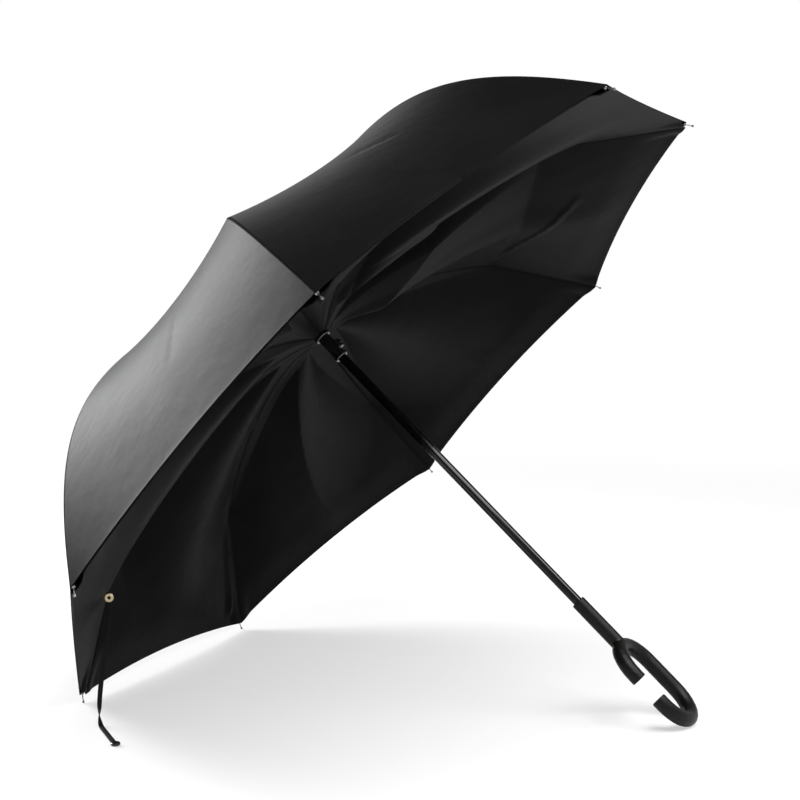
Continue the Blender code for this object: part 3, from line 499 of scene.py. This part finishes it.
def stud_finish(name, color, roughness):
    """Aged metal of the strap's stud, with painted shade darkening its hollow middle."""
    finish = Finish(name, color, roughness, metallic=1.0)
    middle = np.mean(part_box("strap_stud"), axis=0)
    spots = {0: finish.place(), 1: tuple(middle)}
    distance = finish.add("ShaderNodeVectorMath", spots, output="Value", operation="DISTANCE")
    # Painted shade: the colour goes dark inside a small radius round the stud's middle, where its
    # hollow is
    rim = distance.ramp(*HOLLOW_SHADE_EDGES)
    finish.set("Base Color", finish.blend(rim, PAINTED_HOLLOW_SHADE, color))
    pitted = finish.noise(scale=300, detail=2)
    finish.set("Roughness", roughness + (pitted - 0.5) * STUD_ROUGHNESS_RANGE)
    return finish.material


def make_finishes():
    """The finishes of all pieces, each by a short name."""
    metal = {"grain": 800, "depth": 0.00002, "metallic": 1.0}
    return {
        "outer": cloth_finish("outer_cloth", (0.0035, 0.0035, 0.0038), roughness=0.46, gloss=0.04),
        "inner": cloth_finish("inner_cloth", (0.0100, 0.0100, 0.0104), roughness=0.42, gloss=0.018),
        "enamel": plain_finish("shaft_enamel", (0.003, 0.003, 0.0032), roughness=0.14,
                               grain=900, depth=0.00002, specular_ior_level=0.2,
                               coat_weight=0.22, coat_roughness=0.05),
        "steel": plain_finish("black_steel", (0.02, 0.02, 0.021), roughness=0.32,
                              grain=700, depth=0.00003, metallic=0.6),
        "plastic": plain_finish("hub_plastic", (0.010, 0.010, 0.011), roughness=0.24,
                                grain=600, depth=0.00003, specular_ior_level=0.6),
        "rod": plain_finish("glass_fibre", (0.012, 0.012, 0.0125), roughness=0.36,
                            grain=1200, depth=0.00004),
        "grip": plain_finish("grip_rubber", (0.0030, 0.0029, 0.0025), roughness=0.44,
                             grain=1500, depth=0.00008, specular_ior_level=0.2),
        "nickel": plain_finish("nickel", (0.42, 0.41, 0.39), roughness=0.26, **metal),
        "dark_nickel": plain_finish("dark_nickel", (0.09, 0.09, 0.088), roughness=0.28, **metal),
        "tip_metal": plain_finish("tip_metal", (0.20, 0.20, 0.195), roughness=0.34, **metal),
        "brass": stud_finish("aged_brass", (0.40, 0.34, 0.22), roughness=0.32),
        "tape": tape_finish("strap_tape", (0.006, 0.006, 0.0063), roughness=0.62),
    }


# Stage

def add_world():
    """White to the camera, bright at the horizon and dark above in reflections, and dim as light."""
    world = bpy.data.worlds.new("studio")
    bpy.context.scene.world = world
    world.use_nodes = True
    nodes = Nodes(world.node_tree)
    nodes.tree.nodes.clear()
    camera, mirror = nodes.ray_kinds()
    height = nodes.parts(nodes.add("ShaderNodeTexCoord", output="Generated"))[2]
    wall = 1 - height.ramp(*CEILING_EDGE)
    reflected = mirror * (CEILING_GLOW + (WALL_GLOW - CEILING_GLOW) * wall) + (1 - mirror) * ROOM_GLOW
    strength = camera + (1 - camera) * reflected
    light = nodes.add("ShaderNodeBackground", {"Color": (1, 1, 1, 1), "Strength": strength})
    nodes.add("ShaderNodeOutputWorld", {"Surface": light}, output=None)


def add_floor():
    """A pale floor. To the camera and in reflections it glows up to the background's white."""
    bpy.ops.object.select_all(action="DESELECT")
    bpy.ops.mesh.primitive_plane_add(size=FLOOR_SIZE, location=(0, 0, 0))
    floor = bpy.context.object
    floor.name = "studio_floor"
    finish = Finish("studio_floor", FLOOR_SEEN, FLOOR_ROUGHNESS)
    camera, mirror = finish.ray_kinds()
    finish.set("Base Color", finish.blend(camera + mirror, FLOOR_BOUNCE, FLOOR_SEEN))
    east, north, _ = finish.parts(finish.place())
    far = ((east ** 2 + north ** 2) ** 0.5).ramp(*FLOOR_FAR)
    seen = camera * (FLOOR_GLOW_SHARE + (1 - FLOOR_GLOW_SHARE) * far)
    share = seen + mirror * far * MIRROR_GLOW_SHARE
    glow = finish.add("ShaderNodeEmission", {"Strength": 1.0})
    shaders = {0: share, 1: Wire(finish, finish.shader.outputs[0]), 2: glow}
    surface = finish.tree.nodes["Material Output"].inputs["Surface"]
    finish.connect(surface, finish.add("ShaderNodeMixShader", shaders))
    floor.data.materials.append(finish.material)


# Shape of the cloth

def eased(share):
    """A smooth step from 0 to 1."""
    inside = np.clip(share, 0.0, 1.0)
    return inside * inside * (3 - 2 * inside)


def bezier(points, share):
    """The two coordinates of a cubic curve at a share along it."""
    rest = 1 - share
    weights = (rest**3, 3 * rest**2 * share, 3 * rest * share**2, share**3)
    return [sum(w * point[axis] for w, point in zip(weights, points)) for axis in (0, 1)]


def belly(across):
    """0 at a panel's two ribs and 1 in its middle."""
    return 4 * across * (1 - across)


def moved(points, *move):
    """Points moved by three numbers or arrays."""
    return points + np.stack(np.broadcast_arrays(*move), axis=-1)


def between_ribs(panel, across, place, inward, lift):
    """Points between two ribs: on the straight line across, its middle drawn inward and lifted."""
    radius, height = place
    start, middle, end = rib_angle(panel), middle_angle(panel), rib_angle(panel + 1)
    drawn = belly(across) * inward
    x = radius * ((1 - across) * math.cos(start) + across * math.cos(end)) - drawn * math.cos(middle)
    y = radius * ((1 - across) * math.sin(start) + across * math.sin(end)) - drawn * math.sin(middle)
    return np.stack([x, y, height + belly(across) * lift], axis=-1)


def crease_depth(share, across, flat, start, end, width, depth, lean):
    """A crease along a line, fading over each of its ends. Its lean makes one side the steeper."""
    here = np.stack(np.broadcast_arrays(*flat(share, across)), axis=-1)
    first, last = (np.array(flat(*spot)) for spot in (start, end))
    run = last - first
    length = np.linalg.norm(run)
    run = run / length
    along = (here - first) @ run
    beside = (here - first) @ np.array((-run[1], run[0]))
    side = np.where(beside > 0, width * (1 + lean), width * (1 - lean))
    crest = np.clip(1 - np.abs(beside) / side, 0.0, 1.0) ** CREASE_POWER
    start_fade = eased(along / CREASE_FADE + 0.5)
    end_fade = eased((length - along) / CREASE_FADE + 0.5)
    return depth * crest * start_fade * end_fade


def creases_depth(creases, share, across, flat):
    """All of a panel's creases together, worked out on the panel laid out flat."""
    return sum(crease_depth(share, across, flat, *crease) for crease in creases)


# Outer cloth

def outer_seam(share):
    """The outer cloth's top face along a rib, from the notch's edge at 0 to the hem corner at 1."""
    crown_aim = (CROWN_REACH, CROWN_HEIGHT - CROWN_REACH * math.sin(CROWN_SLOPE))
    tip_aim = (SPAN_RADIUS - TIP_REACH * math.cos(TIP_SLOPE), TIP_REACH * math.sin(TIP_SLOPE))
    curve = ((CROWN_RADIUS, CROWN_HEIGHT), crown_aim, tip_aim, (SPAN_RADIUS, 0.0))
    radius, height = bezier(curve, np.maximum(share, 0.0))
    return radius + CROWN_CLOSING * np.minimum(share, 0.0), height


def outer_slope(share):
    """How steeply the outer seam falls towards the hem."""
    start = outer_seam(np.maximum(share - SLOPE_STEP, 0.0))
    end = outer_seam(np.minimum(share + SLOPE_STEP, 1.0))
    return np.arctan2(start[1] - end[1], end[0] - start[0])


def outer_flat(share, across):
    """An outer panel laid out flat: metres across from its middle, and along from the hem."""
    radius, _ = outer_seam(1 - share)
    return (across - 0.5) * panel_width(radius), OUTER_LENGTH * share


def outer_points(share, panel, across):
    """The outer cloth's top face, from the hem at 0 to the notch at 1, and on under the cap."""
    slope = outer_slope(1 - share)
    inside = np.minimum(share, 1.0)
    sag = PANEL_SAG * np.sin(math.pi * inside**SAG_LEAN_SHARE)
    edge = (1 - inside) ** 2
    inward = HEM_SCALLOP * edge + sag * np.sin(slope)
    lift = HEM_LIFT * edge - sag * np.cos(slope)
    points = between_ribs(panel, across, outer_seam(1 - share), inward, lift)
    creases = OUTER_CREASES.get(panel_number(panel), ())
    return moved(points, 0, 0, -creases_depth(creases, share, across, outer_flat))


# Inner cloth

def arch(share):
    """0 at the hem and the hub and 1 at the tie."""
    return np.sin(math.pi * np.minimum(share, 2.0) / 2)


def inner_seam(share):
    """The inner cloth's top face along a rib: hem corner at 0, tie at 1, the runner at 2."""
    corner = (SPAN_RADIUS - INNER_CORNER_DROP * math.sin(TIP_SLOPE),
              -INNER_CORNER_DROP * math.cos(TIP_SLOPE))
    toward_tie = [a + (b - a) * np.minimum(share, 1.0) for a, b in zip(corner, TIE)]
    toward_hub = bezier((TIE, TIE_AIM, HUB_AIM, HUB_CLAMP), np.clip(share - 1, 0.0, 1.0))
    radius, height = [np.where(share <= 1, tie, hub) for tie, hub in zip(toward_tie, toward_hub)]
    return radius - HUB_CLOSING * np.maximum(share - 2, 0.0), height


def inner_profile(share, panel, across):
    """The inner seam's profile, with its bend at the tie eased where no rib holds it."""
    ease = TIE_EASE_SHARES.get(panel, TIE_EASE_SHARE)
    reach = ease * belly(across) + TIE_EASE_LEAST
    turn = np.clip((share - 1 + reach) / (2 * reach), 0.0, 1.0)
    start, end = inner_seam(1 - reach), inner_seam(1 + reach)
    eased_bend = [(1 - turn) ** 2 * a + 2 * turn * (1 - turn) * tie + turn**2 * b
                  for a, tie, b in zip(start, TIE, end)]
    held = inner_seam(share)
    return [np.where(np.abs(share - 1) < reach, bend, seam) for bend, seam in zip(eased_bend, held)]


def inner_flat(share, across):
    """An inner panel laid out flat: metres across from its middle, and along from the hem."""
    radius, _ = inner_seam(share)
    along = TIP_ZONE * np.minimum(share, 1.0) + HUB_ZONE * np.maximum(share - 1, 0.0)
    return (across - 0.5) * panel_width(radius), along


def fold_depth(share, panel, across):
    """The loose fold from beside a strut to the middle of the hem, mirrored in every other panel."""
    across = 1 - across if panel % 2 else across
    line = FOLD_HEM_SHARE + (FOLD_HUB_SHARE - FOLD_HEM_SHARE) * share / 2
    far_width = FOLD_FAR_WIDTH_SHARES.get(panel, FOLD_WIDTH_SHARE)
    width = np.where(across > line, far_width, FOLD_WIDTH_SHARE)
    offset = np.minimum(np.abs(across - line) / width, 1.0)
    fade = np.minimum(across / line, (1 - across) / (1 - line))
    sharp = FOLD_SHARP_SHARES.get(panel, 0.0)
    soft_crest = (1 - sharp) * np.cos(offset * math.pi / 2) ** 2
    crest = sharp * (1 - offset) ** FOLD_SHARP_POWER + soft_crest
    return FOLD_DEPTH * FOLD_SCALES[panel] * crest * arch(share) * fade


def pocket_depth(share, across):
    """The hanging pocket, deepest along a crest that slants towards the hub."""
    crest = POCKET_CREST_SHARE + POCKET_CREST_SLANT * across
    rise = np.clip((share - 1) / (crest - 1), 0.0, 1.0)
    fall = np.clip((POCKET_END_SHARE - share) / (POCKET_END_SHARE - crest), 0.0, 1.0)
    near, far = POCKET_SIDE_SHARES
    return POCKET_DEPTH * np.minimum(rise, fall) * eased(across / near) * eased((1 - across) / far)


def hem_rise(share, across, radius):
    """How far the inner hem rises to the outer one between the ribs, where the two are sewn."""
    beside = np.minimum(across, 1 - across) * panel_width(radius)
    return HEM_RISE * eased(1 - share / HEM_RISE_SHARE) * eased((beside - RIB_ROOM) / RIB_ROOM_EASE)


def inner_points(share, panel, across):
    """The inner cloth's top face, from the hem at 0 past the tie at 1 to the hub at 2."""
    number = panel_number(panel)
    edge = np.maximum(0.0, 1 - share) ** 2
    slack = INNER_SLACK * SLACK_SHARES.get(number, 1.0)
    lift = HEM_LIFT * edge - slack * arch(share)
    radius, height = inner_profile(share, number, across)
    points = between_ribs(panel, across, (radius, height), HEM_SCALLOP * edge, lift)
    depth = fold_depth(share, number, across)
    if number == POCKET_PANEL:
        depth = depth + pocket_depth(share, across)
    depth = depth + creases_depth(INNER_CREASES.get(number, ()), share, across, inner_flat)
    rise = hem_rise(share, across, radius)
    out = rise * math.sin(TIP_SLOPE)
    middle = middle_angle(panel)
    up = rise * math.cos(TIP_SLOPE) - depth
    return moved(points, out * math.cos(middle), out * math.sin(middle), up)


def tucked(share, panel, across, past):
    """The inner cloth, lifted clear of its other part where it runs on past the joint."""
    return moved(inner_points(share, panel, across), 0, 0, TUCK_GAP * eased(past / TUCK_STEP_SHARE))


def inner_tip_points(share, panel, across):
    """The inner cloth on an outer rib, run on above the hub part to meet it when shut."""
    return tucked(share, panel, across, share - INNER_JOINT_SHARE)


def inner_hub_points(share, panel, across):
    """The inner cloth on a strut, run on above the tip part to meet it when shut."""
    return tucked(share, panel, across, INNER_JOINT_SHARE - share)


# Leaves of cloth

def leaf_columns(radius):
    """Shares across from a rib to the panel's middle: two by the seam's edge, then even steps."""
    seam = np.minimum(SEAM_HALF_WIDTH / panel_width(radius), SEAM_SHARE_MOST)
    step = np.minimum(STEP_WIDTH / panel_width(radius), STEP_SHARE_MOST)
    even = [seam + step + (0.5 - seam - step) * i / CLOTH_COLUMNS for i in range(CLOTH_COLUMNS + 1)]
    return np.stack([0 * seam, seam, *even], axis=-1)


def leaf_grid(points_at, rib, rows, columns):
    """The places of a leaf's points, from half a panel before its rib to half a panel after."""
    before = points_at(rows, rib - 1, 1 - columns)[:, :0:-1]
    return np.concatenate([before, points_at(rows, rib, columns)], axis=1)


def flat_lengths(places, columns, radius):
    """Each point's metres across from the seam and along from the leaf's first row."""
    beside = columns * panel_width(radius)[:, None]
    across = np.concatenate([-beside[:, :0:-1], beside], axis=1)
    steps = np.linalg.norm(np.diff(places, axis=0), axis=2)
    along = np.concatenate([np.zeros((1, places.shape[1])), np.cumsum(steps, axis=0)])
    return across, along


def panel_normals(points_at, rows, panel, across):
    """A panel's normals, from points a small step apart both ways."""
    left = points_at(rows, panel, across - NORMAL_STEP)
    right = points_at(rows, panel, across + NORMAL_STEP)
    below = points_at(np.maximum(rows - NORMAL_STEP, 0.0), panel, across)
    above = points_at(rows + NORMAL_STEP, panel, across)
    normals = np.cross(right - left, above - below)
    return normals / np.linalg.norm(normals, axis=2, keepdims=True)


def leaf_normals(points_at, rib, rows, columns):
    """The whole sheet's normals at a leaf's points, alike on two leaves where they meet."""
    before = panel_normals(points_at, rows, rib - 1, 1 - columns)[:, ::-1]
    after = panel_normals(points_at, rows, rib, columns)
    seam = before[:, -1:] + after[:, :1]
    seam /= np.linalg.norm(seam, axis=2, keepdims=True)
    return np.concatenate([before[:, :-1], seam, after[:, 1:]], axis=1)


def extra_thickness(distance, width, thickness):
    """What doubled cloth adds within a width, with a short step down past it."""
    share = np.clip((width + STEP_WIDTH - distance) / STEP_WIDTH, 0.0, 1.0)
    return (thickness - CLOTH_THICKNESS) * share


def leaf_thickness(across, along, radius, has_hem):
    """Doubled at the rib's seam, but not at the hub, and doubled at the hem."""
    clear_of_hub = np.clip((radius - HUB_CLEAR_RADIUS) / HUB_CLEAR_RADIUS, 0.0, 1.0)[:, None]
    seam = extra_thickness(np.abs(across), SEAM_HALF_WIDTH, SEAM_THICKNESS) * clear_of_hub
    hem = extra_thickness(along, HEM_WIDTH, HEM_THICKNESS) if has_hem else 0.0
    return CLOTH_THICKNESS + np.maximum(seam, hem)


def shell_faces(rows, columns):
    """Corners of a grid's upper faces, of the faces of its copy below, and of the rim between."""
    lower = rows * columns
    index = np.arange(lower).reshape(rows, columns)
    top = np.stack([index[:-1, :-1], index[:-1, 1:], index[1:, 1:], index[1:, :-1]], axis=-1)
    top = top.reshape(-1, 4)
    edge = np.concatenate([index[0, :], index[1:, -1], index[-1, -2::-1], index[-2:0:-1, 0]])
    after = np.roll(edge, -1)
    rim = np.stack([after, edge, edge + lower, after + lower], axis=-1)
    return top, top[:, ::-1] + lower, rim


def leaf_mesh(name, places, normals, thickness, across, along):
    """A closed thin shell below a grid of points, with the whole sheet's normals on both faces."""
    under = places - normals * thickness[..., None]
    points = laid(np.concatenate([places.reshape(-1, 3), under.reshape(-1, 3)]))
    top, bottom, rim = shell_faces(*places.shape[:2])
    faces = np.concatenate([top, bottom, rim])
    mesh = bpy.data.meshes.new(name)
    mesh.from_pydata(points.tolist(), [], faces.tolist())
    flat = np.stack([across.ravel(), along.ravel()], axis=-1)
    flat = np.concatenate([flat, flat])
    uv = mesh.uv_layers.new(name="cloth")
    uv.data.foreach_set("uv", flat[faces.ravel()].astype(np.float32).ravel())
    mesh.shade_smooth()
    both = turned(np.concatenate([normals.reshape(-1, 3), -normals.reshape(-1, 3)]))
    per_corner = both[faces.ravel()]
    per_corner[-rim.size:] = 0.0
    mesh.normals_split_custom_set(per_corner.tolist())
    return mesh


def add_leaf(kind, rib, points_at, shares, body, finish, node):
    """Half a panel each side of a rib, which folds with it."""
    radius = np.linalg.norm(points_at(shares, rib, 0 * shares)[:, :2], axis=1)
    columns = leaf_columns(radius)
    rows = np.repeat(shares[:, None], columns.shape[1], axis=1)
    places = leaf_grid(points_at, rib, rows, columns)
    normals = leaf_normals(points_at, rib, rows, columns)
    across, along = flat_lengths(places, columns, radius)
    thickness = leaf_thickness(across, along, radius, has_hem=shares[0] == 0)
    # Counted on from the leaf's first share, so that the hem's stitches show at the hem alone
    counted = along + shares[0]
    mesh = leaf_mesh(f"{kind}_{rib}", places, normals, thickness, across, counted)
    mesh.materials.append(finish)
    leaf = bpy.data.objects.new(f"{kind}_{rib}", mesh)
    bpy.context.scene.collection.objects.link(leaf)
    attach(leaf, body)
    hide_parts(node)
    angle = rib_angle(rib)
    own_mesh(leaf)


def leaf_rows():
    """Shares along the sheet where each kind of leaf has its rows of points."""
    outer_tip = np.linspace(OUTER_TIP_START, OUTER_JOINT_SHARE, OUTER_TIP_COUNT)
    crown = np.linspace(OUTER_JOINT_SHARE, 1.0, CROWN_COUNT)
    inner_hem = np.array(HEM_ROWS) * INNER_HEM_STRETCH
    inner_tip = np.linspace(INNER_TIP_START, INNER_JOINT_SHARE, INNER_TIP_COUNT)
    tip_tuck = np.linspace(INNER_JOINT_SHARE, TUCK_SHARES[1], TUCK_COUNT)[1:]
    hub_tuck = np.linspace(TUCK_SHARES[0], INNER_JOINT_SHARE, TUCK_COUNT)[:-1]
    hub = np.linspace(INNER_JOINT_SHARE, 2.0, HUB_COUNT)
    return {
        "outer_cloth_tip": np.concatenate([HEM_ROWS, outer_tip]),
        "outer_cloth_crown": np.concatenate([crown, CROWN_EDGE_ROWS]),
        "inner_cloth_tip": np.concatenate([inner_hem, inner_tip, tip_tuck]),
        "inner_cloth_hub": np.concatenate([hub_tuck, hub, HUB_EDGE_ROWS]),
    }


def add_cloths(finishes):
    """Four leaves on each rib: the tip and crown of the outer cloth, the tip and hub of the inner."""
    rows = leaf_rows()
    outer, inner = finishes["outer"], finishes["inner"]
    leaves = {
        "outer_cloth_tip": (outer_points, "outer_rib", outer, "outer_canopy", TIP_KEEP),
        "outer_cloth_crown": (outer_points, "top_rib", outer, "outer_canopy", CROWN_KEEP),
        "inner_cloth_tip": (inner_tip_points, "outer_rib", inner, "inner_canopy", TIP_KEEP),
        "inner_cloth_hub": (inner_hub_points, "strut", inner, "inner_canopy", HUB_KEEP),
    }
    for rib in range(1, RIB_COUNT + 1):
        for kind, (points_at, carrier, finish, node, keep) in leaves.items():
            add_leaf(kind, rib, points_at, rows[kind], f"{carrier}_{rib}", finish, node)


# Handle and strap

def copied_node(node, name):
    """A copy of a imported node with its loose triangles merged, to be finished more finely."""
    bpy.ops.object.select_all(action="DESELECT")
    piece = bpy.data.objects.new(name, frame["nodes"][node].data.copy())
    bpy.context.scene.collection.objects.link(piece)
    piece.select_set(True)
    bpy.context.view_layer.objects.active = piece
    bpy.ops.object.mode_set(mode="EDIT")
    bpy.ops.mesh.select_all(action="SELECT")
    bpy.ops.mesh.remove_doubles(threshold=MERGE_DISTANCE)
    bpy.ops.object.mode_set(mode="OBJECT")
    piece.data.materials.clear()
    return piece


def apply_modifier(piece, kind, **settings):
    """Gives a piece a modifier with its settings and applies it."""
    modifier = piece.modifiers.new(kind.title(), kind)
    for key, value in settings.items():
        setattr(modifier, key, value)
    bpy.context.view_layer.objects.active = piece
    bpy.ops.object.modifier_apply(modifier=modifier.name)


def add_handle(finishes):
    """The C handle in one soft skin, its crotch and rims rounded."""
    grip = copied_node("handle", "handle_grip")
    apply_modifier(grip, "REMESH", mode="VOXEL", voxel_size=HANDLE_GRAIN)
    apply_modifier(grip, "SMOOTH", factor=0.5, iterations=HANDLE_ROUNDS)
    bpy.ops.object.shade_smooth()
    grip.data.materials.append(finishes["grip"])
    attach(grip, "root")
    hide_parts("handle")


def add_strap(finishes):
    """The closing strap, a folded tape whose edges are rolled over."""
    tape = copied_node("strap", "closing_strap")
    apply_modifier(tape, "BEVEL", width=STRAP_EDGE, segments=2, limit_method="ANGLE")
    bpy.ops.object.shade_smooth_by_angle(angle=STRAP_SMOOTH_ANGLE)
    tape.data.materials.append(finishes["tape"])
    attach(tape, "outer_rib_6")
    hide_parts("strap")


def dress_nodes(finishes):
    """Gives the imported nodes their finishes."""
    looks = {
        "shaft_tube": "enamel", "top_notch": "plastic", "notch_wire": "dark_nickel",
        "top_cap": "plastic", "runner": "plastic", "runner_wire": "dark_nickel",
        "runner_collar": "dark_nickel", "runner_ring": "dark_nickel", "button_spring": "nickel",
        "lock_button": "plastic", "strap_stud": "brass", "strap_snap": "plastic",
    }
    for number in range(1, RIB_COUNT + 1):
        looks[f"top_rib_{number}"] = "steel"
        looks[f"strut_{number}"] = "steel"
        looks[f"rib_joint_{number}"] = "plastic"
        looks[f"outer_rib_{number}"] = "rod"
        looks[f"rib_tip_{number}"] = "tip_metal"
    for node, look in looks.items():
        mesh = frame["nodes"][node].data
        mesh.materials.clear()
        mesh.materials.append(finishes[look])


bpy.context.scene.view_settings.view_transform = "Standard"
add_camera()
add_world()
add_softboxes()
add_floor()
FINISHES = make_finishes()
add_cloths(FINISHES)
add_handle(FINISHES)
add_strap(FINISHES)
dress_nodes(FINISHES)
